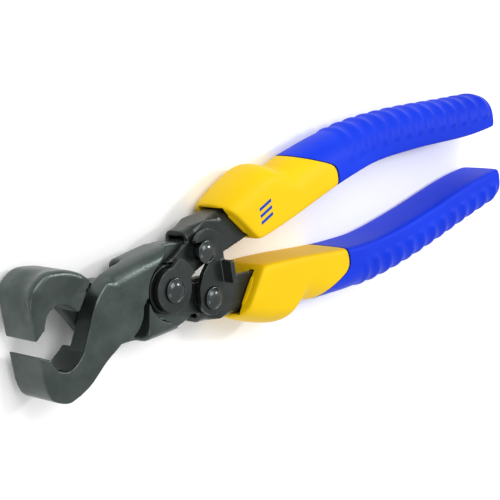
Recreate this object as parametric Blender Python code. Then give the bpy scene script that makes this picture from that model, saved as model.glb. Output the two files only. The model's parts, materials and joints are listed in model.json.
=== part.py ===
"""Tile nippers with compound-action handles, lying flat on the rear sides of their grips.

+X runs from the jaw tips to the handle ends, +Y towards the upper handle and +Z out of the front
face.  The outlines are drawn from the handle pivot, with z = 0 in the middle of the jaws, and an
empty carries everything to the tool's own origin, under the middle of its box.  The two jaws are
the same forging, one turned over about X, and so are the two tail holes, grips and webs.
"""

import math

import bmesh
import bpy
from mathutils import Matrix, Vector

MM = 0.001
FIT = 0.3                      # gap left between pieces that touch

# linkage, measured from the handle pivot
JAW_PIVOT_SETBACK = 19.3       # handle pivot to jaw pivot
TAIL_RIVET_X = 13.6            # handle pivot to the tail rivets, along the tool
TAIL_RIVET_Y = 6.8             # and to each side of the centreline

# jaws
JAW_REACH = 28.4               # jaw pivot to cutting edges
JAW_THICKNESS = 12.7
TIP_GAP = 3.8                  # left between the cutting edges when closed
TIP_DEPTH = 17.0               # centreline to the back of a jaw
GULLET_DEPTH = 8.9             # centreline to the bottom of the mouth
HUB_RADIUS = 8.3               # round of the lap joint
TAIL_TOP = 12.3                # centreline to the outer side of a tail
TAIL_ROUND = 3.6               # rounding along the outer side of a tail
TONGUE_THICKNESS = 5.4         # tail inside the handle channel
TAIL_BOSS_RADIUS = 4.1
SHOULDER_GAP = 1.8             # shoulder of the tail to the handle plates around the pivot
CARBIDE_THICKNESS = 2.4
CARBIDE_HEIGHT = 6.4
JAW_PIN_RADIUS = 4.0

# handle frames
PLATE_THICKNESS = 1.6
PLATE_DISC_RADIUS = 7.0        # plate ends around the handle pivot
RAISED_DISC_RADIUS = 6.4       # joggled plate ends of the upper frame
WEB_START_X = 9.8
WEB_HEIGHT = 13.5              # centreline to the outer side of the web at its front end
FOLD_RADIUS = 2.8
CHANNEL_END_X = 138.0

# rivets, washers and spring
PIVOT_SHANK_RADIUS = 2.3
PIVOT_HEAD_RADIUS = 3.5
TAIL_SHANK_RADIUS = 2.0
TAIL_HEAD_RADIUS = 3.3
WASHER_THICKNESS = 0.4
SLEEVE_WALL = 0.9
SPRING_WIRE_RADIUS = 0.5
SPRING_TURNS = 3

# latch
LATCH_THICKNESS = 1.6
LATCH_BOSS_RADIUS = 4.9
LATCH_EAR_RADIUS = 5.6
LATCH_PER_HANDLE = 40.0 / 28.0  # turn of the latch for each degree of the handles
THUMB_TAB_HEIGHT = 3.8

# grips
GRIP_THICKNESS = 17.6
GRIP_END_X = 158.6
MOUTH_X = 34.0                 # where the channel enters the grip, on its inner side
MOUTH_LEAN = 11.0              # the outer side of the collar reaches this much further forward
JOINT_X = 70.4                 # where the collar meets the sleeve, on the inner side
INNER_EDGE_RADIUS = 1.6
MOUTH_ROUND = 0.8
END_ROUND = 3.0

A = (0.0, 0.0)
B = (TAIL_RIVET_X, TAIL_RIVET_Y)
C = (TAIL_RIVET_X, -TAIL_RIVET_Y)
D = (-JAW_PIVOT_SETBACK, 0.0)
EDGE_X = D[0] - JAW_REACH

# layers away from the middle plane, on both sides
HALF_JAW = JAW_THICKNESS / 2
HALF_TONGUE = TONGUE_THICKNESS / 2
PLATE_IN = HALF_TONGUE + FIT
PLATE_OUT = PLATE_IN + PLATE_THICKNESS
WASHER_IN = PLATE_OUT + FIT
WASHER_OUT = WASHER_IN + WASHER_THICKNESS
RAISED_IN = WASHER_OUT + FIT
RAISED_OUT = RAISED_IN + PLATE_THICKNESS
LATCH_OUT = RAISED_IN + LATCH_THICKNESS
HALF_GRIP = GRIP_THICKNESS / 2
SHOULDER_RADIUS = PLATE_DISC_RADIUS + SHOULDER_GAP
FAR = 60.0                     # cutters run this far past what they cut


def arc(centre, radius, start, end, steps=12):
    """Points on an arc, from start to end in degrees."""
    angles = [math.radians(start + (end - start) * i / steps) for i in range(steps + 1)]
    return [(centre[0] + radius * math.cos(a), centre[1] + radius * math.sin(a)) for a in angles]


def curve(knots, steps=4):
    """A smooth line through the knots."""
    ends = [knots[0]] + list(knots) + [knots[-1]]
    points = []
    for p0, p1, p2, p3 in zip(ends, ends[1:], ends[2:], ends[3:]):
        for i in range(steps):
            t = i / steps
            points.append(tuple(
                0.5 * (2 * b + (c - a) * t + (2 * a - 5 * b + 4 * c - d) * t * t
                       + (3 * b - a - 3 * c + d) * t ** 3)
                for a, b, c, d in zip(p0, p1, p2, p3)))
    return points + [tuple(knots[-1])]


def height_at(line, x):
    """Height of a line of points, which runs along +X, at x."""
    for (x0, y0), (x1, y1) in zip(line, line[1:]):
        if x <= x1 or (x1, y1) == line[-1]:
            return y0 + (y1 - y0) * (x - x0) / (x1 - x0)


def new_object(name, bm):
    bmesh.ops.recalc_face_normals(bm, faces=bm.faces)
    mesh = bpy.data.meshes.new(name)
    bm.to_mesh(mesh)
    bm.free()
    obj = bpy.data.objects.new(name, mesh)
    bpy.context.scene.collection.objects.link(obj)
    return obj


def prism(name, outline, low, high):
    """A plate with the given outline between two heights."""
    bm = bmesh.new()
    face = bm.faces.new([bm.verts.new((x * MM, y * MM, low * MM)) for x, y in outline])
    top = bmesh.ops.extrude_face_region(bm, geom=[face])["geom"]
    verts = [v for v in top if isinstance(v, bmesh.types.BMVert)]
    bmesh.ops.translate(bm, verts=verts, vec=(0, 0, (high - low) * MM))
    return new_object(name, bm)


def turned(name, centre, profile, segments=24):
    """A piece turned about the vertical axis through centre, from (radius, height) points."""
    bm = bmesh.new()
    verts = [bm.verts.new((r * MM, 0, z * MM)) for r, z in profile]
    edges = [bm.edges.new(pair) for pair in zip(verts, verts[1:])]
    bmesh.ops.spin(bm, geom=verts + edges, cent=(0, 0, 0), axis=(0, 0, 1), dvec=(0, 0, 0),
                   angle=2 * math.pi, steps=segments, use_merge=True)
    bmesh.ops.remove_doubles(bm, verts=bm.verts, dist=0.002 * MM)
    bmesh.ops.translate(bm, verts=bm.verts, vec=(centre[0] * MM, centre[1] * MM, 0))
    return new_object(name, bm)


def bar(name, centre, radius, low, high, sides=24):
    """A round bar between two heights, also used to drill holes."""
    return prism(name, arc(centre, radius, 0, 360, sides)[:-1], low, high)


def ring(name, centre, inner, outer, low, high):
    """A flat washer or a sleeve."""
    return turned(name, centre, [(inner, low), (outer, low), (outer, high), (inner, high), (inner, low)])


def apply_boolean(body, other, operation):
    modifier = body.modifiers.new(operation.title(), "BOOLEAN")
    modifier.operation = operation
    modifier.object = other
    bpy.context.view_layer.objects.active = body
    bpy.ops.object.modifier_apply(modifier=modifier.name)
    bpy.data.objects.remove(other, do_unlink=True)


def cut(body, *cutters):
    for cutter in cutters:
        apply_boolean(body, cutter, "DIFFERENCE")


def join(body, *others):
    for other in others:
        apply_boolean(body, other, "UNION")


def turn_over(*objects):
    """Half a turn about X, which swaps upper and lower, front and rear."""
    for obj in objects:
        obj.data.transform(Matrix.Rotation(math.pi, 4, "X"))


def mirror_down(obj):
    """The same piece for the lower handle."""
    obj.data.transform(Matrix.Scale(-1, 4, (0, 1, 0)))
    obj.data.flip_normals()


def jaw(name, tail_hole_radius):
    """The jaw with the lower tip: full thickness at the tip, the front half around the jaw
    pivot, full thickness again behind it, and a thin tongue inside the handle channel."""
    back, gullet = -TIP_DEPTH, -GULLET_DEPTH
    tip_side = curve([(EDGE_X, -TIP_GAP / 2), (EDGE_X + 0.1, back + 8.0), (EDGE_X + 0.6, back + 4.8),
                      (EDGE_X + 2.0, back + 2.2), (EDGE_X + 6.0, back), (EDGE_X + 9.5, back + 0.2),
                      (EDGE_X + 14.4, -15.2), (EDGE_X + 19.1, -12.2), (D[0] - 6.6, -10.6),
                      (D[0] - 3.9, -9.4)])
    hub = arc(D, HUB_RADIUS, -100, -8)
    underside = [(-SHOULDER_RADIUS - 0.6, 0.5)] + arc(A, PLATE_DISC_RADIUS - 0.8, 172, 62)
    boss = arc(B, TAIL_BOSS_RADIUS, -80, 100)
    tail_side = curve([(8.6, TAIL_TOP - 1.5), (3.0, TAIL_TOP - 0.2), (-6.0, TAIL_TOP - 0.3),
                       (D[0] + 4.6, TAIL_TOP - 0.9), (D[0] - 0.6, 10.5), (D[0] - 4.4, 8.4),
                       (D[0] - 7.0, 6.0), (D[0] - 9.2, 3.0), (D[0] - 11.0, -0.2)])
    mouth_side = curve([(EDGE_X + 13.9, -6.0), (EDGE_X + 11.4, gullet + 0.9), (EDGE_X + 8.5, gullet),
                        (EDGE_X + 5.9, gullet + 0.9), (EDGE_X + 4.4, -6.4), (EDGE_X + 3.4, -4.0)])
    body = prism(name, tip_side + hub + underside + boss + tail_side + mouth_side,
                 -HALF_JAW, HALF_JAW)
    round_edges(body, [(x, y) for x, y in tail_side if x > D[0] - 2.0], TAIL_ROUND)

    lap = [(EDGE_X + 10.0, -5.2), (D[0] - 13.1, -5.2), (D[0] - 10.7, -8.0), (D[0] - 8.6, -11.7),
           (D[0] - 8.0, -FAR), (A[0], -FAR), (A[0], -0.5), (-SHOULDER_RADIUS - 0.2, 1.0),
           (-SHOULDER_RADIUS - 2.7, 10.8), (-SHOULDER_RADIUS - 3.0, FAR), (EDGE_X + 10.0, FAR)]
    shoulder = arc(A, SHOULDER_RADIUS, 184, 104)
    shoulder += [(10.4, FAR / 3), (FAR, FAR / 3), (FAR, -FAR), (-SHOULDER_RADIUS, -FAR)]
    cut(body,
        prism("lap", lap, -FAR, FIT / 2),
        prism("front_shoulder", shoulder, HALF_TONGUE, FAR),
        prism("rear_shoulder", shoulder, -FAR, -HALF_TONGUE),
        bar("pin_hole", D, JAW_PIN_RADIUS + FIT, -FAR, FAR),
        bar("tail_hole", B, tail_hole_radius, -FAR, FAR))

    edge_y = -TIP_GAP / 2
    seat_x, seat_y = EDGE_X + CARBIDE_THICKNESS, edge_y - CARBIDE_HEIGHT
    seat = [(-FAR, seat_y - FIT), (seat_x + FIT, seat_y - FIT), (seat_x + FIT, FAR), (-FAR, FAR)]
    cut(body, prism("carbide_seat", seat, -FAR, FAR))
    slope = (edge_y + 4.0) / 3.4
    carbide = prism(name + "_carbide", [(EDGE_X, edge_y), (EDGE_X + 0.05, seat_y), (seat_x, seat_y),
                                        (seat_x, edge_y - slope * CARBIDE_THICKNESS)],
                    -HALF_JAW, HALF_JAW)
    return body, carbide


WEB_OUTER = curve([(WEB_START_X, WEB_HEIGHT), (28.0, WEB_HEIGHT + 2.7), (55.0, WEB_HEIGHT + 6.3),
                   (85.0, WEB_HEIGHT + 8.3), (112.0, WEB_HEIGHT + 7.8),
                   (CHANNEL_END_X, WEB_HEIGHT + 5.0)], 4)
OPEN_SIDE = curve([(14.5, 2.6), (31.0, 5.0), (50.0, 8.8), (72.0, 12.3), (90.0, 13.9),
                   (106.0, 14.2), (122.0, 13.0), (CHANNEL_END_X, 11.2)], 3)


def channel_envelope(name, margin):
    """The outside of a handle frame's channel, grown by a margin."""
    web = [(x, y + margin) for x, y in WEB_OUTER]
    opening = [(x, y - margin) for x, y in OPEN_SIDE]
    web[-1] = (web[-1][0] + margin, web[-1][1])
    opening[-1] = (opening[-1][0] + margin, opening[-1][1])
    half = PLATE_OUT + margin
    body = prism(name, opening + web[::-1], -half, half)
    round_edges(body, web, FOLD_RADIUS)
    return body


def round_edges(body, line, radius):
    """Rounds a plate's front and rear edges along a line of its outline."""
    bm = bmesh.new()
    bm.from_mesh(body.data)
    on_line = {(round(x, 3), round(y, 3)) for x, y in line}
    edges = [e for e in bm.edges
             if all((round(v.co.x / MM, 3), round(v.co.y / MM, 3)) in on_line for v in e.verts)
             and abs(e.verts[0].co.z - e.verts[1].co.z) < radius * MM
             and abs(e.verts[0].co.x - e.verts[1].co.x) > 0.1 * MM]
    bmesh.ops.bevel(bm, geom=edges, offset=radius * MM, segments=4, profile=0.5, affect="EDGES")
    bmesh.ops.triangulate(bm, faces=bm.faces)
    bm.to_mesh(body.data)
    bm.free()


def handle_frame(name, raised):
    """A stamped channel whose plates reach forward to the handle pivot; the raised frame's
    plates are joggled outwards to lie over the other frame's."""
    arm_top = [(WEB_START_X, 10.6), (4.0, 8.2)]
    disc = arc(A, PLATE_DISC_RADIUS, 96, 366, 30)
    outline = OPEN_SIDE + WEB_OUTER[::-1] + arm_top + disc
    body = prism(name, outline, -PLATE_OUT, PLATE_OUT)
    round_edges(body, WEB_OUTER, FOLD_RADIUS)
    web_inner = [(x, y - PLATE_THICKNESS) for x, y in WEB_OUTER]
    inside = ([(-FAR, -FAR), (CHANNEL_END_X + FIT, -FAR), (CHANNEL_END_X + FIT, web_inner[-1][1])]
              + web_inner[::-1] + [(WEB_START_X - 1, web_inner[0][1] - 0.2), (-FAR, web_inner[0][1])])
    cut(body, prism("inside", inside, -PLATE_IN, PLATE_IN))
    if raised:
        reach = PLATE_DISC_RADIUS + FIT
        cut(body, bar("joggle_room", A, reach, -FAR, FAR))
        sector = arc(A, RAISED_DISC_RADIUS, 84, 372, 30) + arc(A, reach + 1.5, 16, 64, 6)
        for side in (1, -1):
            low, high = sorted((side * (PLATE_IN + 0.3), side * RAISED_OUT))
            step = prism("step", sector, low, high)
            floor_low, floor_high = sorted((0.0, side * RAISED_IN))
            cut(step, bar("step_room", A, reach + 0.1, floor_low, floor_high))
            join(body, step)
    cut(body, bar("pivot_hole", A, PIVOT_SHANK_RADIUS + FIT, -FAR, FAR),
        bar("rivet_hole", B, TAIL_SHANK_RADIUS + FIT, -FAR, FAR))
    return body


def rivet(name, centre, shank, head, front, rear, rise=1.5):
    """A riveted pin: domed heads from the given layers outwards."""
    dome = [(head * math.cos(t * math.pi / 8), rise * math.sin(t * math.pi / 8)) for t in range(4)]
    profile = [(0, -rear - rise)] + [(r, -rear - h) for r, h in reversed(dome)] + [(shank, -rear)]
    profile += [(shank, front)] + [(r, front + h) for r, h in dome] + [(0, front + rise)]
    return turned(name, centre, profile)


def return_spring(name, mean_radius):
    """A torsion spring around the pivot sleeve, its legs running back between the tails."""
    pitch = 2 * SPRING_WIRE_RADIUS + 0.3
    rise = pitch * SPRING_TURNS
    leg_y = TAIL_RIVET_Y - TAIL_BOSS_RADIUS - FIT - SPRING_WIRE_RADIUS
    leg = [(17.0, leg_y), (12.5, leg_y), (9.0, leg_y + 0.1), (5.2, 2.9)]
    coil = []
    steps = 12 * SPRING_TURNS
    sweep = 2 * math.pi * SPRING_TURNS - math.pi / 2
    for i in range(steps + 1):
        angle = math.pi / 4 + sweep * i / steps
        height = rise * (i / steps - 0.5)
        coil.append((mean_radius * math.cos(angle), mean_radius * math.sin(angle), height))
    path = [(x, y, -rise / 2) for x, y in leg] + coil + [(x, -y, rise / 2) for x, y in leg[::-1]]
    bm = bmesh.new()
    rings = []
    for i, point in enumerate(path):
        here = Vector(point)
        ahead = Vector(path[min(i + 1, len(path) - 1)]) - Vector(path[max(i - 1, 0)])
        ahead.normalize()
        side = Vector((0, 0, 1)).cross(ahead).normalized()
        up = ahead.cross(side)
        around = [math.cos(a) * side + math.sin(a) * up for a in (k * math.pi / 4 for k in range(8))]
        rings.append([bm.verts.new((here + SPRING_WIRE_RADIUS * way) * MM) for way in around])
    for lower, upper in zip(rings, rings[1:]):
        for k in range(8):
            bm.faces.new((lower[k], lower[(k + 1) % 8], upper[(k + 1) % 8], upper[k]))
    bm.faces.new(rings[0][::-1])
    bm.faces.new(rings[-1])
    return new_object(name, bm)


def turned_about(point, centre, degrees):
    a = math.radians(degrees)
    x, y = point[0] - centre[0], point[1] - centre[1]
    return (centre[0] + x * math.cos(a) - y * math.sin(a),
            centre[1] + x * math.sin(a) + y * math.cos(a))


def latch(name):
    """Pivots on the lower tail rivet and hooks round the upper one; its thumb tab stands up."""
    ear = (B[0] + 1.2, B[1] + 0.6)
    right_x = B[0] + 6.6
    outline = (arc(C, LATCH_BOSS_RADIUS, 180, 330) + [(right_x, C[1] + 2.4), (right_x, B[1] - 1.0)]
               + arc(ear, LATCH_EAR_RADIUS, 10, 140) + [(B[0] - 3.2, B[1] + 2.0), (B[0] + 0.4, B[1] - 3.4)]
               + [(B[0] - 2.2, B[1] - 5.8), (C[0] - 4.4, C[1] + 4.2)])
    body = prism(name, outline, RAISED_IN, LATCH_OUT)
    # the notch is the way that the upper rivet takes past the latch as the handles open
    for degrees in range(0, 16, 2):
        passing = turned_about(turned_about(B, A, degrees), C, degrees * LATCH_PER_HANDLE)
        cut(body, bar("notch", passing, TAIL_SHANK_RADIUS + FIT, -FAR, FAR))
    tab = [(right_x - LATCH_THICKNESS, C[1] + 3.0), (right_x, C[1] + 3.0), (right_x, B[1] - 4.2),
           (right_x - LATCH_THICKNESS, B[1] - 4.2)]
    tab = [(x - 0.05 if x == right_x else x, y) for x, y in tab]
    join(body, prism("tab", tab, RAISED_IN + 0.2, LATCH_OUT + THUMB_TAB_HEIGHT))
    cut(body, bar("rivet_hole", C, TAIL_SHANK_RADIUS + FIT, -FAR, FAR))
    return body


GRIP_INNER = curve([(MOUTH_X, 3.6), (50.0, 6.0), (70.0, 9.7), (83.0, 11.4), (94.0, 11.9), (106.0, 11.3),
                    (120.0, 10.1), (133.0, 8.6), (146.0, 7.5), (GRIP_END_X, 7.4)], 6)
GRIP_OUTER = curve([(MOUTH_X - MOUTH_LEAN, 17.2), (28.0, 19.2), (34.0, 21.8), (40.0, 23.7), (44.0, 23.4),
                    (48.0, 22.0), (52.0, 22.3), (60.0, 23.8), (75.0, 25.6), (90.0, 26.2), (105.0, 25.5),
                    (120.0, 24.0), (140.0, 21.4), (GRIP_END_X, 19.2)], 6)


def grip_section(inner, outer, flat, shrink):
    """A closed D: flat inner side with small edge rounds, flat front and rear, round outer side."""
    depth = math.dist(inner, outer)
    half = HALF_GRIP - shrink
    edge = INNER_EDGE_RADIUS
    start, end = shrink, depth - shrink
    turn = start + edge + (end - start - edge) * flat
    corner = [(start + edge * (1 - math.sin(a)), half - edge * (1 - math.cos(a)))
              for a in (math.pi / 2 * k / 3 for k in range(3, -1, -1))]
    nose = [(turn + (end - turn) * math.sin(a), half * math.cos(a) ** 0.8)
            for a in (math.pi / 2 * k / 7 for k in range(8))]
    front = corner + nose
    section = front + [(u, -z) for u, z in front[-2::-1]]
    along = Vector((outer[0] - inner[0], outer[1] - inner[1], 0)) / depth
    return [Vector((inner[0], inner[1], 0)) + along * u + Vector((0, 0, z)) for u, z in section]


def grip_blank(name):
    """The whole grip for the upper handle, collar and sleeve in one."""
    stations = 25
    rings = []
    for i in range(stations + 1):
        t = i / stations
        outer_x = GRIP_OUTER[0][0] + (GRIP_END_X - END_ROUND - GRIP_OUTER[0][0]) * t
        inner_x = MOUTH_X + (GRIP_END_X - END_ROUND - MOUTH_X) * t
        flat = 0.62 if outer_x < 48 else 0.30
        rings.append(((inner_x, height_at(GRIP_INNER, inner_x)),
                      (outer_x, height_at(GRIP_OUTER, outer_x)), flat, 0.0))
    inner, outer, flat, _ = rings[0]
    rings[0] = ((inner[0] + MOUTH_ROUND, inner[1]), (outer[0] + MOUTH_ROUND, outer[1]), flat, 0.0)
    rings.insert(0, (inner, outer, flat, MOUTH_ROUND))
    for k in range(1, 5):
        angle = math.pi / 2 * k / 4
        x = GRIP_END_X - END_ROUND + END_ROUND * math.sin(angle)
        rings.append(((x, height_at(GRIP_INNER, x)), (x, height_at(GRIP_OUTER, x)), 0.30,
                      END_ROUND * (1 - math.cos(angle))))
    bm = bmesh.new()
    loops = [[bm.verts.new(p * MM) for p in grip_section(*ring_values)] for ring_values in rings]
    for lower, upper in zip(loops, loops[1:]):
        for k in range(len(lower)):
            n = (k + 1) % len(lower)
            bm.faces.new((lower[k], lower[n], upper[n], upper[k]))
    bm.faces.new(loops[0][::-1])
    bm.faces.new(loops[-1])
    bmesh.ops.triangulate(bm, faces=bm.faces)
    return new_object(name, bm)


def grip(handle):
    """Collar and sleeve, split along the colour line, with a blind pocket for the channel."""
    line = [(JOINT_X, -FAR), (JOINT_X, 9.0), (JOINT_X + 0.6, 13.0), (JOINT_X - 0.4, 16.4),
            (JOINT_X - 5.0, 19.0), (JOINT_X - 15.0, 23.4), (JOINT_X - 21.0, FAR)]
    collar = grip_blank(handle + "_grip_collar")
    sleeve = grip_blank(handle + "_grip_sleeve")
    cut(collar, prism("behind_line", line + [(4 * FAR, FAR), (4 * FAR, -FAR)], -FAR, FAR))
    behind = [(x + FIT, y) for x, y in line]
    cut(sleeve, prism("before_line", behind + [(-FAR, FAR), (-FAR, -FAR)], -FAR, FAR))
    for piece in (collar, sleeve):
        cut(piece, channel_envelope("pocket", FIT))
    return collar, sleeve


def material(name, colour, metallic, roughness):
    found = bpy.data.materials.new(name)
    found.use_nodes = True
    shader = found.node_tree.nodes["Principled BSDF"]
    shader.inputs["Base Color"].default_value = (*colour, 1)
    shader.inputs["Metallic"].default_value = metallic
    shader.inputs["Roughness"].default_value = roughness
    return found


def finish(obj, hinge, finish_material, smooth=False):
    """Gives a piece its material and hangs it on its hinge, an empty on the joint's axis."""
    obj.data.materials.clear()
    obj.data.materials.append(finish_material)
    obj.data.transform(Matrix.Translation(-hinge.matrix_world.translation + datum.matrix_world.translation))
    obj.parent = hinge
    if smooth:
        obj.data.shade_smooth()
        obj.data.set_sharp_from_angle(angle=math.radians(35))


def hinge_at(name, point, parent):
    empty = bpy.data.objects.new(name, None)
    bpy.context.scene.collection.objects.link(empty)
    empty.parent = parent
    x, y = point
    offset = Vector((x * MM, y * MM, 0))
    empty.location = offset - (parent.matrix_world.translation - datum.matrix_world.translation)
    bpy.context.view_layer.update()
    return empty


for old in list(bpy.data.objects):
    bpy.data.objects.remove(old, do_unlink=True)

forged = material("oxide_forging", (0.045, 0.055, 0.052), 0.85, 0.38)
stamped = material("oxide_stamping", (0.050, 0.056, 0.056), 0.85, 0.36)
riveted = material("oxide_rivet", (0.060, 0.066, 0.066), 0.9, 0.30)
carbide_grey = material("carbide", (0.10, 0.11, 0.115), 0.9, 0.34)
spring_steel = material("spring_steel", (0.45, 0.46, 0.48), 1.0, 0.28)
yellow = material("yellow_grip", (1.0, 0.72, 0.0), 0.0, 0.42)
blue = material("blue_grip", (0.0, 0.045, 0.80), 0.0, 0.44)

datum = bpy.data.objects.new("tool_datum", None)
bpy.context.scene.collection.objects.link(datum)
datum.location = (-(EDGE_X + GRIP_END_X) / 2 * MM, 0, HALF_GRIP * MM)
bpy.context.view_layer.update()
upper_handle = hinge_at("upper_handle_hinge", A, datum)
lower_jaw_hinge = hinge_at("lower_jaw_hinge", B, upper_handle)
upper_jaw_hinge = hinge_at("upper_jaw_hinge", D, lower_jaw_hinge)
latch_hinge = hinge_at("latch_hinge", C, datum)

lower_jaw, lower_carbide = jaw("lower_jaw", TAIL_SHANK_RADIUS + FIT)
lower_carbide.name = "lower_carbide_edge"
finish(lower_jaw, lower_jaw_hinge, forged)
finish(lower_carbide, lower_jaw_hinge, carbide_grey)
pin = bar("jaw_pivot_pin", D, JAW_PIN_RADIUS, -HALF_JAW, HALF_JAW)
finish(pin, lower_jaw_hinge, riveted, smooth=True)

# the lower tail rivet closes the linkage, so its hole in this jaw has a little room
upper_jaw, upper_carbide = jaw("upper_jaw", TAIL_SHANK_RADIUS + 2 * FIT)
turn_over(upper_jaw, upper_carbide)
upper_carbide.name = "upper_carbide_edge"
finish(upper_jaw, upper_jaw_hinge, forged)
finish(upper_carbide, upper_jaw_hinge, carbide_grey)

upper_frame = handle_frame("upper_handle_frame", raised=True)
finish(upper_frame, upper_handle, stamped)
lower_frame = handle_frame("lower_handle_frame", raised=False)
mirror_down(lower_frame)
finish(lower_frame, datum, stamped)

pivot_rivet = rivet("handle_pivot_rivet", A, PIVOT_SHANK_RADIUS, PIVOT_HEAD_RADIUS,
                    RAISED_OUT + FIT, RAISED_OUT + FIT, 1.3)
finish(pivot_rivet, datum, riveted, smooth=True)
for name, centre, hinge in (("upper_tail_rivet", B, upper_handle), ("lower_tail_rivet", C, datum)):
    tail_rivet = rivet(name, centre, TAIL_SHANK_RADIUS, TAIL_HEAD_RADIUS,
                       LATCH_OUT + FIT, PLATE_OUT + FIT)
    finish(tail_rivet, hinge, riveted, smooth=True)

sleeve_inner = PIVOT_SHANK_RADIUS + FIT
sleeve_outer = sleeve_inner + SLEEVE_WALL
finish(ring("pivot_sleeve", A, sleeve_inner, sleeve_outer, -HALF_TONGUE, HALF_TONGUE),
       datum, spring_steel, smooth=True)
finish(return_spring("return_spring", sleeve_outer + FIT + SPRING_WIRE_RADIUS),
       datum, spring_steel, smooth=True)
for name, side in (("front_pivot_washer", 1), ("rear_pivot_washer", -1)):
    low, high = sorted((side * WASHER_IN, side * WASHER_OUT))
    finish(ring(name, A, sleeve_inner, PIVOT_HEAD_RADIUS + 1.2, low, high), datum, spring_steel, smooth=True)
finish(ring("latch_washer", C, TAIL_SHANK_RADIUS + FIT, TAIL_HEAD_RADIUS + 0.8, WASHER_IN, WASHER_OUT),
       datum, spring_steel, smooth=True)
finish(latch("latch_plate"), latch_hinge, stamped)

for handle, hinge in (("upper", upper_handle), ("lower", datum)):
    collar, sleeve = grip(handle)
    if handle == "lower":
        mirror_down(collar)
        mirror_down(sleeve)
    finish(collar, hinge, yellow, smooth=True)
    finish(sleeve, hinge, blue, smooth=True)
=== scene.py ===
import json
import math

import bpy
from mathutils import Matrix, Vector

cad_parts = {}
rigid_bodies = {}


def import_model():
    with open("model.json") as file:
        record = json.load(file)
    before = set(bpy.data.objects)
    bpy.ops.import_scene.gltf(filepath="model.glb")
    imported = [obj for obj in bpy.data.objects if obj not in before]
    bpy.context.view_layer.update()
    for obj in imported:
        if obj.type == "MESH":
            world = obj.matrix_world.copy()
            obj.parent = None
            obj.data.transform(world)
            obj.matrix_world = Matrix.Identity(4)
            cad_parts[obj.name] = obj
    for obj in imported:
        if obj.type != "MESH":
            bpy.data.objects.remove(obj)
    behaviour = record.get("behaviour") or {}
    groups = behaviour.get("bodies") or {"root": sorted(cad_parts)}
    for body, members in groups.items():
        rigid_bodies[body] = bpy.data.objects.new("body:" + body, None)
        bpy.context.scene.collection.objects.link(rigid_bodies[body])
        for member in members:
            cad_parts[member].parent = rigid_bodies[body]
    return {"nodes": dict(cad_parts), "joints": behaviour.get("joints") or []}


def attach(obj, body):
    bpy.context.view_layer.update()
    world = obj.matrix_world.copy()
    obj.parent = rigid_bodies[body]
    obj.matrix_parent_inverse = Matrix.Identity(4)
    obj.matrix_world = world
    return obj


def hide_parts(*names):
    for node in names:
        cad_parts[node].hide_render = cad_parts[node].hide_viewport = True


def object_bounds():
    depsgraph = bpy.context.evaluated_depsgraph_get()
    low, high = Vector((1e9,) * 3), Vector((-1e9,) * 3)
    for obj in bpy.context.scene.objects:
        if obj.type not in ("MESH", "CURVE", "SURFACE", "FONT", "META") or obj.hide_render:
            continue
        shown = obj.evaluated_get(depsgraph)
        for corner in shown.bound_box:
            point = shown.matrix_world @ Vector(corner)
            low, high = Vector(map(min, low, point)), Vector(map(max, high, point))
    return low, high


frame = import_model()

cad_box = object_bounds()
nodes = frame["nodes"]
MM = 0.001
# The handle pivot, in the middle of the jaws' thickness.  Outlines are drawn from here, in
# millimetres: x from the jaw tips to the handle ends, y to the upper handle, z out of the front.
PIVOT = next(Vector(j["pos_m"]) for j in frame["joints"] if j["name"] == "handle_pivot")
HALF_GRIP = PIVOT.z / MM


def place(x, y, z=0.0):
    return PIVOT + Vector((x, y, z)) * MM


# ---------------------------------------------------------------- shader nodes

class Maths:
    """Wraps a socket, so that shader maths reads as plain expressions."""

    def __init__(self, shading, socket):
        self.shading, self.socket = shading, socket

    def combine(self, operation, first, second):
        return self.shading.node("Math", {"operation": operation}, first, second)

    def __add__(self, other):
        return self.combine("ADD", self, other)

    def __sub__(self, other):
        return self.combine("SUBTRACT", self, other)

    def __mul__(self, other):
        return self.combine("MULTIPLY", self, other)

    def __radd__(self, other):
        return self.combine("ADD", other, self)

    def __rsub__(self, other):
        return self.combine("SUBTRACT", other, self)

    def __rmul__(self, other):
        return self.combine("MULTIPLY", other, self)

    def clamp(self, low=0.0, high=1.0):
        return self.combine("MINIMUM", self.combine("MAXIMUM", self, low), high)


class Finish:
    """A material whose nodes are added one by one."""

    def __init__(self, name, **constants):
        self.material = bpy.data.materials.new(name)
        self.material.use_nodes = True
        self.tree = self.material.node_tree
        self.shader = self.tree.nodes["Principled BSDF"]
        for socket, value in constants.items():
            self.shader.inputs[socket.replace("_", " ")].default_value = value
        self.place = self.node("TexCoord", {}, output="Object")

    def node(self, kind, settings, *values, output=0, **named):
        """Adds a node of that type, with its settings and the values or links of its sockets."""
        made = self.tree.nodes.new("ShaderNode" + kind)
        for setting, value in settings.items():
            setattr(made, setting, value)
        for socket, value in enumerate(values):
            self.link(value, made.inputs[socket])
        for socket, value in named.items():
            self.link(value, made.inputs[socket.replace("_", " ")])
        return Maths(self, made.outputs[output])

    def link(self, value, socket):
        if isinstance(value, Maths):
            self.tree.links.new(value.socket, socket)
        else:
            socket.default_value = value

    def noise(self, scale, detail=3.0, roughness=0.55, stretch=None):
        """Noise at so many bumps to the metre, stretched along an axis if asked."""
        where = self.place
        if stretch:
            where = self.node("Mapping", {}, where, Scale=stretch)
        return self.node("TexNoise", {}, Vector=where, Scale=scale, Detail=detail,
                         Roughness=roughness)

    def mix(self, factor, first, second):
        made = self.tree.nodes.new("ShaderNodeMix")
        made.data_type = "RGBA"
        self.link(factor, made.inputs[0])
        self.link(first, made.inputs[6])
        self.link(second, made.inputs[7])
        return Maths(self, made.outputs[2])

    def drive(self, socket, value):
        self.link(value, self.shader.inputs[socket])

    def bump(self, height, distance):
        made = self.node("Bump", {}, Strength=1.0, Distance=distance, Height=height)
        self.drive("Normal", made)


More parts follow.
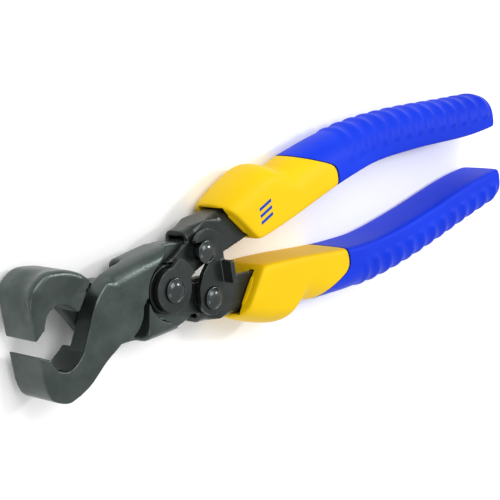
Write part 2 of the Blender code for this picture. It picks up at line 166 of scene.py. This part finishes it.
def oxide(name, dark, light, roughness, grain):
    """Black oxide on steel: blotches of two greys, a fine blasted grain and uneven sheen."""
    finish = Finish(name, Metallic=0.82)
    cloud = finish.noise(140, 4.0)
    speck = finish.noise(2600, 2.0)
    mottle = ((cloud - 0.38) * 2.6).clamp()
    tone = mottle * 0.75 + speck * 0.25
    finish.drive("Base Color", finish.mix(tone, (*dark, 1), (*light, 1)))
    finish.drive("Roughness", roughness + (cloud - 0.5) * 0.22 + (speck - 0.5) * 0.10)
    finish.bump(speck * 0.7 + finish.noise(900, 3.0) * 0.6, grain)
    return finish.material


def rubber(name, deep, bright, roughness, grain):
    """Moulded soft plastic: slight flow marks, fine matt grain."""
    finish = Finish(name, Metallic=0.0, Coat_Weight=0.0, Specular_IOR_Level=0.14)
    flow = finish.noise(45, 3.0, stretch=(0.35, 1.0, 1.0))
    fine = finish.noise(2200, 2.0)
    tone = ((flow - 0.35) * 2.2).clamp()
    finish.drive("Base Color", finish.mix(tone, (*deep, 1), (*bright, 1)))
    finish.drive("Roughness", roughness + (flow - 0.5) * 0.12 + (fine - 0.5) * 0.08)
    finish.bump(fine * 0.8 + flow * 0.4, grain)
    return finish.material


def steel(name, colour, roughness):
    """Bright drawn steel with fine streaks round its pieces."""
    finish = Finish(name, Metallic=1.0)
    streaks = finish.noise(700, 2.0, stretch=(1.0, 1.0, 6.0))
    shade = (*[0.8 * c for c in colour], 1)
    finish.drive("Base Color", finish.mix(streaks, shade, (*colour, 1)))
    finish.drive("Roughness", roughness + (streaks - 0.5) * 0.15)
    finish.bump(streaks, 0.00002)
    return finish.material


forging = oxide("forged_oxide", (0.050, 0.064, 0.061), (0.092, 0.112, 0.106), 0.33, 0.00005)
stamping = oxide("stamped_oxide", (0.030, 0.036, 0.035), (0.060, 0.068, 0.066), 0.30, 0.00003)
rivet_black = oxide("riveted_oxide", (0.045, 0.052, 0.052), (0.080, 0.090, 0.090), 0.20, 0.00002)
bright_steel = steel("bright_spring_steel", (0.42, 0.43, 0.45), 0.30)
yellow = rubber("yellow_plastic", (0.70, 0.44, 0.0), (0.79, 0.52, 0.0), 0.48, 0.00003)
blue = rubber("blue_plastic", (0.0, 0.024, 0.52), (0.0, 0.036, 0.66), 0.50, 0.00004)
# painted shade: a near-black colour for the bottom of the groove where the two colours meet, in
# place of the shadow in that gap
groove_shade = rubber("painted_groove_shade", (0.004, 0.006, 0.02), (0.01, 0.012, 0.04), 0.6, 0.00002)
print_blue = rubber("printed_mark", (0.002, 0.04, 0.34), (0.004, 0.06, 0.42), 0.5, 0.00001)


# ---------------------------------------------------------------- modelling

SAME_POINT = 0.002                # nodes' loose corners this close are one, in millimetres


def only(*pieces):
    """Leaves object mode's selection with these pieces alone, the first one active."""
    if bpy.context.mode != "OBJECT":
        bpy.ops.object.mode_set(mode="OBJECT")
    bpy.ops.object.select_all(action="DESELECT")
    for piece in pieces:
        piece.select_set(True)
    bpy.context.view_layer.objects.active = pieces[0]


def curve(knots, steps=4):
    """A smooth line through the knots."""
    ends = [knots[0]] + list(knots) + [knots[-1]]
    points = []
    for p0, p1, p2, p3 in zip(ends, ends[1:], ends[2:], ends[3:]):
        for i in range(steps):
            t = i / steps
            points.append(tuple(
                0.5 * (2 * b + (c - a) * t + (2 * a - 5 * b + 4 * c - d) * t * t
                       + (3 * b - a - 3 * c + d) * t ** 3)
                for a, b, c, d in zip(p0, p1, p2, p3)))
    return points + [tuple(knots[-1])]


def height_at(line, x):
    """Height of a line of points, which runs along +X, at x."""
    for (x0, y0), (x1, y1) in zip(line, line[1:]):
        if x <= x1 or (x1, y1) == line[-1]:
            return y0 + (y1 - y0) * (x - x0) / (x1 - x0)


def trace(points):
    """In edit mode, draws a line through the points by extruding one vertex along them."""
    bpy.ops.mesh.select_all(action="DESELECT")
    bpy.ops.mesh.primitive_plane_add(size=MM, location=points[0])
    bpy.ops.mesh.merge(type="CENTER")
    for here, there in zip(points, points[1:]):
        bpy.ops.mesh.extrude_region_move(TRANSFORM_OT_translate={"value": there - here})
    bpy.ops.mesh.select_linked()


def begin(name):
    """An empty mesh to draw in, at the world origin."""
    bpy.ops.object.select_all(action="DESELECT")
    bpy.ops.mesh.primitive_plane_add(size=MM, location=(0, 0, 0))
    piece = bpy.context.object
    piece.name = piece.data.name = name
    bpy.ops.object.mode_set(mode="EDIT")
    bpy.ops.mesh.delete(type="VERT")
    return piece


def close_up():
    """Turns every face of the mesh in edit mode outwards, and leaves edit mode."""
    bpy.ops.mesh.select_all(action="SELECT")
    bpy.ops.mesh.normals_make_consistent(inside=False)
    bpy.ops.object.mode_set(mode="OBJECT")


def slab(name, outline, low, high):
    """A plate with the given outline between two heights."""
    piece = begin(name)
    trace([place(x, y, low) for x, y in outline])
    bpy.ops.mesh.edge_face_add()
    rise = (0, 0, (high - low) * MM)
    bpy.ops.mesh.extrude_region_move(TRANSFORM_OT_translate={"value": rise})
    close_up()
    return piece


def modify(piece, kind, **settings):
    """Adds a modifier and applies it."""
    only(piece)
    modifier = piece.modifiers.new(kind.title(), kind)
    for setting, value in settings.items():
        setattr(modifier, setting, value)
    bpy.ops.object.modifier_apply(modifier=modifier.name)


def cut(piece, *cutters):
    """Takes the cutters out of the piece, and removes them."""
    for cutter in cutters:
        modify(piece, "BOOLEAN", operation="DIFFERENCE", object=cutter)
        bpy.data.objects.remove(cutter, do_unlink=True)


def merge_into(piece, *others):
    """Makes the others part of the piece's mesh."""
    only(piece, *others)
    bpy.ops.object.join()


def copy_of(name, *sources):
    """A merged copy of some CAD nodes, to be finished as a new piece."""
    copies = []
    for source in sources:
        copies.append(bpy.data.objects.new(name, nodes[source].data.copy()))
        bpy.context.scene.collection.objects.link(copies[-1])
    only(*copies)
    if len(copies) > 1:
        bpy.ops.object.join()
    bpy.ops.object.mode_set(mode="EDIT")
    bpy.ops.mesh.select_all(action="SELECT")
    bpy.ops.mesh.remove_doubles(threshold=SAME_POINT * MM)
    bpy.ops.object.mode_set(mode="OBJECT")
    return bpy.context.object


def skin(piece, grain):
    """Runs what the piece holds into one closed skin."""
    modify(piece, "REMESH", mode="VOXEL", voxel_size=grain * MM, use_smooth_shade=True)


def soften(piece, grain, passes):
    """One skin with every edge rounded a little, as forging and tumbling do."""
    skin(piece, grain)
    modify(piece, "SMOOTH", factor=0.5, iterations=passes)
    modify(piece, "DECIMATE", ratio=0.4)
    only(piece)
    bpy.ops.object.shade_smooth()


def weigh(piece, weight_at, least=0.0):
    """A vertex group with the weight at each point, in millimetres from the pivot."""
    group = piece.vertex_groups.new(name="weights")
    for vertex in piece.data.vertices:
        weight = weight_at((vertex.co - PIVOT) / MM)
        if weight > least:
            group.add([vertex.index], min(weight, 1.0), "REPLACE")
    return group.name


def push(piece, depth, weight_at):
    """Moves the surface in or out along its normals, by the weight."""
    group = weigh(piece, weight_at)
    modify(piece, "DISPLACE", strength=depth * MM, mid_level=0.0, vertex_group=group)
    piece.vertex_groups.clear()


def smooth_patch(piece, passes, weight_at):
    """Smooths the surface further where the weight says so."""
    group = weigh(piece, weight_at, 0.02)
    modify(piece, "SMOOTH", factor=0.5, iterations=passes, vertex_group=group)
    piece.vertex_groups.clear()


def paint(piece, material):
    piece.data.materials.clear()
    piece.data.materials.append(material)
    for face in piece.data.polygons:
        face.material_index = 0


def done(piece, body, material, slot, *stands_for):
    """Paints a piece and hangs it on its body, in place of the CAD nodes that it stands for."""
    paint(piece, material)
    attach(piece, body)
    if stands_for:
        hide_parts(*stands_for)


def ease(value, low, high):
    """Goes smoothly from 0 at the low value to 1 at the high one."""
    t = min(max((value - low) / (high - low), 0.0), 1.0)
    return t * t * (3 - 2 * t)


# ---------------------------------------------------------------- jaws, frames and latch

EDGE_X = -47.7                    # cutting edges
JAW_PIVOT_X = -19.3
JAW_SIDE = 8.0                    # further out than either side of a jaw
ARM_SIDE = 3.6                    # the rear of an arm is cut back from here
PLUG_RADIUS = 4.6                 # closes the pin's front end
FORGING_GRAIN, STAMPING_GRAIN, LATCH_GRAIN = 0.24, 0.20, 0.16
FRAME_CUT_X = 52.0                # the frames end here, out of sight in the collars


def near(point, line, reach):
    """Fades from 1 on a line of points in the outline to 0 at the reach from it."""
    away = min(math.dist(point[:2], knot) for knot in line)
    return 1 - ease(away, 0.0, reach)


def jaw_skin(name, flip, *sources):
    """One forging out of a jaw and its cutting edge, with the seam between them closed."""
    seam_outline = [(EDGE_X + 0.3, -8.6), (EDGE_X + 3.3, -8.6),
                    (EDGE_X + 3.3, -4.3), (EDGE_X + 0.3, -2.4)]
    filler = slab("seat_filler", [(x, flip * y) for x, y in seam_outline], -6.2, 6.2)
    piece = copy_of(name, *sources)
    merge_into(piece, filler)
    return piece


# where an arm's sharp edge runs into the rounded side of its tail
SHOULDER = curve([(-24.0, 8.0), (-19.0, 10.6), (-13.0, 11.6), (-4.0, 12.0)])
SHOULDER_REACH = 5.0

lower_jaw = jaw_skin("lower_jaw_forging", 1, "lower_jaw", "lower_carbide_edge", "jaw_pivot_pin")
round_the_pin = [(JAW_PIVOT_X + PLUG_RADIUS * math.cos(k * math.pi / 16),
                  PLUG_RADIUS * math.sin(k * math.pi / 16)) for k in range(32)]
merge_into(lower_jaw, slab("pin_plug", round_the_pin, 1.0, 6.34))
skin(lower_jaw, FORGING_GRAIN)
mouth_back = [(-41.0, -9.6), (-36.0, -9.4), (-33.8, -8.2), (-32.3, -7.1), (-30.7, -6.1),
              (-28.0, -5.0), (-28.0, 0.0), (-41.0, 0.0)]
cut(lower_jaw, slab("mouth_back", mouth_back, -JAW_SIDE, -ARM_SIDE))
gullet = ((-37.0, -8.6), (-33.0, -7.0))
smooth_patch(lower_jaw, 60, lambda p: near(p, gullet, 4.0) * (p.z < -0.8))
smooth_patch(lower_jaw, 90, lambda p: near(p, SHOULDER, SHOULDER_REACH))
soften(lower_jaw, FORGING_GRAIN, 5)
done(lower_jaw, "lower_jaw", forging, "oxide_forging",
     "lower_jaw", "lower_carbide_edge", "jaw_pivot_pin")

upper_jaw = jaw_skin("upper_jaw_forging", -1, "upper_jaw", "upper_carbide_edge")
skin(upper_jaw, FORGING_GRAIN)
arm_back = [(-33.6, 6.6), (-30.9, 3.9), (-28.1, 0.5), (-25.1, -3.2), (-24.6, -6.0),
            (-36.0, -6.0), (-36.0, 6.6)]
cut(upper_jaw, slab("arm_back", arm_back, -JAW_SIDE, -ARM_SIDE))
arm_edge = ((-31.0, 3.9), (-28.0, 0.5), (-25.5, -3.0))
smooth_patch(upper_jaw, 60, lambda p: near(p, arm_edge, 4.0) * (p.z < -0.8))
smooth_patch(upper_jaw, 90, lambda p: near((p.x, -p.y), SHOULDER, SHOULDER_REACH))
# this jaw's arch stands a little further out, with a shallow hollow behind the tip's front edge
ARCH = curve([(-44.5, 14.6), (-42.0, 16.6), (-38.5, 17.0), (-35.0, 16.0), (-31.0, 13.8)])
HOLLOW = curve([(-47.0, 11.0), (-46.4, 13.2), (-44.6, 15.2), (-42.4, 16.6)])
push(upper_jaw, 1.2, lambda p: near(p, ARCH, 6.0) * (p.y > 10.0))
push(upper_jaw, -0.9,
     lambda p: near(p, HOLLOW, 5.5) * ease(p.z, -3.0, 2.2) * (1 - ease(p.z, 2.6, 6.0)))
soften(upper_jaw, FORGING_GRAIN, 5)
done(upper_jaw, "upper_jaw", forging, "oxide_forging", "upper_jaw", "upper_carbide_edge")

for handle in ("upper", "lower"):
    shell = copy_of(handle + "_handle_stamping", handle + "_handle_frame")
    bpy.ops.object.mode_set(mode="EDIT")
    bpy.ops.mesh.select_all(action="SELECT")
    bpy.ops.mesh.bisect(plane_co=place(FRAME_CUT_X, 0), plane_no=(1, 0, 0),
                        clear_outer=True, use_fill=True)
    bpy.ops.object.mode_set(mode="OBJECT")
    soften(shell, STAMPING_GRAIN, 4)
    done(shell, handle + "_handle", stamping, "oxide_stamping", handle + "_handle_frame")

latch = copy_of("thumb_latch", "latch_plate")
soften(latch, LATCH_GRAIN, 5)
done(latch, "latch", stamping, "oxide_stamping", "latch_plate")


# ---------------------------------------------------------------- rivets, spring and washers

HEAD_RISE = 1.30
FRONT_SEAT = 7.5                  # the front heads sit on this layer
TAIL_REAR_SEAT = 4.9              # the tail rivets' rear heads, straight on the plates
TAIL_RIVET_X, TAIL_RIVET_Y = 13.6, 6.8


def rivet(name, centre, shank, head, rear):
    """Turned on its axis: a domed head with a groove round it at each end of the shank."""
    dome = [(head, 0.0), (head, 0.32), (head - 0.14, 0.46), (head - 0.38, 0.50),
            (head - 0.52, 0.42), (head - 0.66, 0.56), (head * 0.68, 0.86), (head * 0.50, 1.12),
            (head * 0.26, 1.26), (0.0, HEAD_RISE)]
    profile = [(0.0, -rear - HEAD_RISE)] + [(r, -rear - h) for r, h in dome[-2::-1]]
    profile += [(shank, -rear), (shank, FRONT_SEAT)] + [(r, FRONT_SEAT + h) for r, h in dome]
    piece = begin(name)
    trace([place(centre[0] + r, centre[1], z) for r, z in profile])
    bpy.ops.mesh.spin(steps=48, angle=2 * math.pi, center=place(*centre), axis=(0, 0, 1))
    bpy.ops.mesh.select_all(action="SELECT")
    bpy.ops.mesh.remove_doubles(threshold=2 * SAME_POINT * MM)
    close_up()
    only(piece)
    bpy.ops.object.shade_smooth_by_angle(angle=math.radians(50))
    return piece


pivot_rivet = rivet("handle_pivot_rivet_turned", (0.0, 0.0), 2.3, 3.5, FRONT_SEAT)
done(pivot_rivet, "lower_handle", rivet_black, "oxide_rivet", "handle_pivot_rivet")
for handle, side in (("upper", 1), ("lower", -1)):
    node = handle + "_tail_rivet"
    tail_rivet = rivet(node + "_turned", (TAIL_RIVET_X, side * TAIL_RIVET_Y), 2.0, 3.3,
                       TAIL_REAR_SEAT)
    done(tail_rivet, handle + "_handle", rivet_black, "oxide_rivet", node)

for name in ("pivot_sleeve", "return_spring", "front_pivot_washer", "rear_pivot_washer",
             "latch_washer"):
    paint(nodes[name], bright_steel)


# ---------------------------------------------------------------- grips

GRIP_END = 158.6
MOUTH_X = 34.0                    # the collar's mouth, on its inner side
MOUTH_LEAN = 11.0                 # its outer side reaches this much further forward
JOINT_X = 70.4                    # where the colours meet, on the inner side
EDGE_ROUND = 1.6                  # along the inner side
STATIONS = 64

RIB_START, RIB_PITCH = 80.0, 6.15
RIB_HEIGHT = 0.7
RIB_ROOM = 0.68                   # the sleeve is this much thinner under the ribs
RIB_SLANT = 4.0
LAST_RIB = 12.6

SLEEVE_GAP = 0.8                  # width of the groove at the colour line
GROOVE_DEPTH = 0.28
FRAME_OUT, FRAME_IN = 4.95, 2.75  # room for the frame's plates in the collar
WEB_ROOM = 2.5
MARK_X, MARK_Y = 35.4, 12.4       # lower front corner of the printed bars
FAR_BACK, FAR_AHEAD, FAR_UP, FAR_DOWN, FAR_SIDE = 200.0, -20.0, 60.0, -20.0, 20

INNER = curve([(MOUTH_X, 3.6), (50.0, 6.0), (70.0, 9.7), (83.0, 11.4), (94.0, 11.9),
               (106.0, 11.3), (120.0, 10.1), (133.0, 8.6), (146.0, 7.5), (GRIP_END, 7.4)], 6)
OUTER = curve([(23.0, 16.8), (27.6, 19.4), (33.4, 22.0), (38.6, 23.8), (42.6, 24.2),
               (45.4, 23.1), (47.6, 21.3), (50.0, 20.7), (53.2, 21.6), (57.0, 22.8),
               (62.0, 23.5), (75.0, 25.0), (90.0, 25.5), (105.0, 24.8), (120.0, 23.3),
               (140.0, 20.8), (GRIP_END, 18.8)], 6)


def grip_loop(share, inset, ahead):
    """One closed section of the grip: flat inner side, flat front and rear, round outer side."""
    inner_x = MOUTH_X + ahead + (GRIP_END - MOUTH_X - ahead) * share
    outer_x = MOUTH_X - MOUTH_LEAN + ahead + (GRIP_END - MOUTH_X + MOUTH_LEAN - ahead) * share
    low, high = height_at(INNER, inner_x), height_at(OUTER, outer_x)
    half = HALF_GRIP - inset - RIB_ROOM * ease(outer_x, 72.0, 86.0)
    reach = (high - low) - 2 * inset
    flat = 0.32 + 0.34 * (1 - ease(outer_x, 42.0, 51.0))
    turn = EDGE_ROUND + (reach - EDGE_ROUND) * flat
    side = [(0.0, half - EDGE_ROUND), (0.35, half - 0.35), (EDGE_ROUND, half),
            (EDGE_ROUND + (turn - EDGE_ROUND) * 0.5, half), (turn, half)]
    side += [(turn + (reach - turn) * math.sin(a), half * math.cos(a) ** 0.8)
             for a in (math.radians(k) for k in (18, 36, 54, 72, 84))]
    section = [(0.0, 0.0)] + side + [(reach, 0.0)] + [(u, -z) for u, z in side[::-1]]
    points = []
    for u, z in section:
        along = (u + inset) / (high - low)
        points.append(place(inner_x + (outer_x - inner_x) * along,
                            low + (high - low) * along, z))
    return points


def grip_blank(name):
    """The whole upper grip: sections along it bridged into one skin, closed at both ends."""
    piece = begin(name)
    stations = [(0.0, 3.6, 0.5), (0.0, 1.7, 0.0), (0.0, 0.5, 0.45), (0.0, 0.1, 1.3)]
    stations += [(k / STATIONS, 0.0, 0.0) for k in range(2, STATIONS)]
    stations += [(0.985, 0.25, 0.0), (0.996, 1.2, 0.0), (1.0, 3.6, 0.0)]
    for share, inset, ahead in stations:
        trace(grip_loop(share, inset, ahead))
        bpy.ops.mesh.edge_face_add()
        if 0.0 < share < 1.0 or inset < 3.0:
            bpy.ops.mesh.delete(type="ONLY_FACE")
    bpy.ops.mesh.select_all(action="SELECT")
    bpy.ops.mesh.delete(type="ONLY_FACE")
    bpy.ops.mesh.select_all(action="SELECT")
    bpy.ops.mesh.bridge_edge_loops()
    bpy.ops.mesh.select_all(action="DESELECT")
    bpy.ops.mesh.select_non_manifold()
    bpy.ops.mesh.fill_holes(sides=0)
    close_up()
    modify(piece, "SUBSURF", levels=2, render_levels=2)
    return piece


def rib_weight(point):
    """Ribs across the outer side, each running down the front and rear to a rounded end."""
    x, y, _ = point
    low, high = height_at(INNER, max(x, MOUTH_X)), height_at(OUTER, min(x, GRIP_END))
    height = (y - low) / (high - low)
    across = (x - RIB_START + RIB_SLANT * max(0.75 - height, 0.0)) / RIB_PITCH
    if not -0.5 < across < LAST_RIB:
        return 0.0
    wave = 0.5 + 0.5 * math.cos(2 * math.pi * across)
    end = ease(height, 0.30, 0.42)
    return wave ** 1.4 * end * ease(x, 76.0, 82.0) * (1 - ease(x, 153.0, 157.0))


knots = [(JOINT_X, 9.0), (JOINT_X + 0.6, 13.0), (JOINT_X - 0.4, 16.4), (JOINT_X - 5.0, 19.0),
         (JOINT_X - 15.0, 23.4)]
colour_line = [(JOINT_X, FAR_DOWN)] + curve(knots, 3) + [(JOINT_X - 21.0, FAR_UP)]
before = [(FAR_AHEAD, FAR_UP), (FAR_AHEAD, FAR_DOWN)]
behind = [(FAR_BACK, FAR_UP), (FAR_BACK, FAR_DOWN)]


def everything(name, shift, edge):
    """A cutter for all of the grip on one side of the colour line, moved along by the shift."""
    return slab(name, [(x + shift, y) for x, y in colour_line] + edge, -FAR_SIDE, FAR_SIDE)


collar = grip_blank("upper_collar")
sleeve = grip_blank("upper_sleeve")
# this band is pushed in below to make the groove, and is painted near-black as painted shade in
# the groove
seam = grip_blank("upper_seam")
cut(collar, everything("behind_line", 0.0, behind))
cut(sleeve, everything("before_line", SLEEVE_GAP, before))
cut(seam, everything("behind_seam", 1.4, behind), everything("before_seam", -1.0, before))
push(seam, -GROOVE_DEPTH, lambda p: 1.0)
push(sleeve, RIB_HEIGHT, rib_weight)

# the collar is moulded round the frame: room for its two plates and its web
opening = [(15.0, 2.2), (31.0, 4.6), (44.0, 7.2), (56.0, 9.6)]
web = [(15.0, 14.7), (24.0, 16.0), (40.0, 18.3), (56.0, 20.2)]
web_inside = [(x, y - WEB_ROOM) for x, y in web]
cut(collar, slab("front_plate", opening + web[::-1], FRAME_IN, FRAME_OUT),
    slab("rear_plate", opening + web[::-1], -FRAME_OUT, -FRAME_IN),
    slab("web", web_inside + web[::-1], -FRAME_OUT, FRAME_OUT))

for piece in (collar, sleeve, seam):
    only(piece)
    bpy.ops.object.shade_smooth_by_angle(angle=math.radians(38))

for piece, kind, finish, slot, stands_for in (
        (collar, "collar", yellow, "yellow_grip", ["_grip_collar"]),
        (sleeve, "sleeve", blue, "blue_grip", ["_grip_sleeve"]),
        (seam, "seam", groove_shade, "blue_grip", [])):
    only(piece)
    bpy.ops.object.duplicate()
    below = bpy.context.object
    below.name = below.data.name = "lower_" + kind
    below.scale = (1, -1, 1)
    bpy.ops.object.transform_apply(location=True, rotation=True, scale=True)
    bpy.ops.object.mode_set(mode="EDIT")
    close_up()
    done(below, "lower_handle", finish, slot, *["lower" + node for node in stands_for])
    done(piece, "upper_handle", finish, slot, *["upper" + node for node in stands_for])

# three short bars printed on the front of the upper collar
bar_outline = ((0, 0), (5.2, 1.6), (5.2, 2.5), (0, 0.9))
bars = [slab("printed_bars", [(MARK_X + u, MARK_Y + (v + step)) for u, v in bar_outline],
             HALF_GRIP - 0.4, HALF_GRIP + 0.06)
        for step in (-4.2, -2.2, -0.2)]
merge_into(*bars)
done(bars[0], "upper_handle", print_blue, "blue_grip")


# ---------------------------------------------------------------- floor, light and camera

bpy.ops.object.select_all(action="DESELECT")
bpy.ops.mesh.primitive_plane_add(size=6.0, location=(0, 0, cad_box[0].z - 0.0002))
floor = bpy.context.object
floor.name = "floor"
pale = Finish("pale_floor", Roughness=0.85)
tone = pale.mix(pale.noise(3, 2.0), (0.93, 0.93, 0.93, 1), (0.95, 0.95, 0.95, 1))
pale.drive("Base Color", tone)
paint(floor, pale.material)

world = bpy.data.worlds.new("studio")
bpy.context.scene.world = world
world.use_nodes = True
sky = world.node_tree.nodes["Background"]
sky.inputs["Color"].default_value = (1, 1, 1, 1)
sky.inputs["Strength"].default_value = 0.78


def softbox(name, place_at, size, watts):
    """A square lamp that looks at the tool."""
    bpy.ops.object.light_add(type="AREA", location=place_at)
    light = bpy.context.object
    light.name = name
    light.data.size = size
    light.data.energy = watts
    towards = Vector((-0.02, 0, 0.01)) - light.location
    light.rotation_euler = towards.to_track_quat("-Z", "Y").to_euler()


softbox("softbox_above", (-0.06, 0.42, 0.66), 0.45, 3.0)
softbox("softbox_front", (-0.50, -0.36, 0.44), 0.30, 0.8)
softbox("spark", (0.34, 0.10, 0.44), 0.07, 0.9)

bpy.ops.object.camera_add(location=PIVOT + Vector((-0.24125, 0.11102, 0.28222)))
camera = bpy.context.object
camera.data.sensor_width = 36.0
camera.data.lens = 100.78
camera.data.clip_start = 0.01
right, up = Vector((0.67346, -0.14762, 0.72434)), Vector((0.29759, 0.95109, -0.08285))
camera.rotation_euler = Matrix((right, up, right.cross(up))).transposed().to_euler()
bpy.context.scene.camera = camera
bpy.context.scene.view_settings.view_transform = "Standard"
